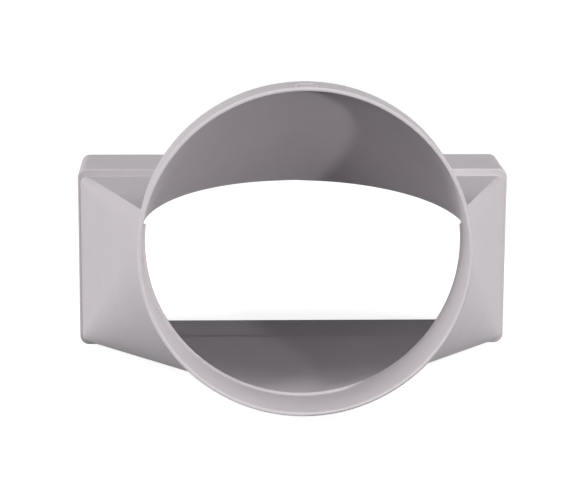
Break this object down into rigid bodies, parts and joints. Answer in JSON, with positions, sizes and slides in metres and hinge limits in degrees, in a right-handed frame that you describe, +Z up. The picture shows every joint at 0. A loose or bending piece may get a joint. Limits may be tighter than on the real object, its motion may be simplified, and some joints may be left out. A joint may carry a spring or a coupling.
{
  "type": "duct transition piece",
  "caption": "Eccentric ventilation duct transition: a flat rectangular duct socket blended through a sloping hood into a round pipe collar.",
  "frame": {"origin": "centre of the round mouth, on the collar's axis", "axes": "-Y out of the round mouth, +Y out of the rectangular socket, +Z up from the flat underside, +X across the width"},
  "size_m": [0.224, 0.188, 0.1593],
  "materials": {
    "moulded_plastic": "satin moulded light grey plastic"
  },
  "bodies": {
    "root": {"duct_transition": "moulded_plastic"}
  },
  "joints": []
}
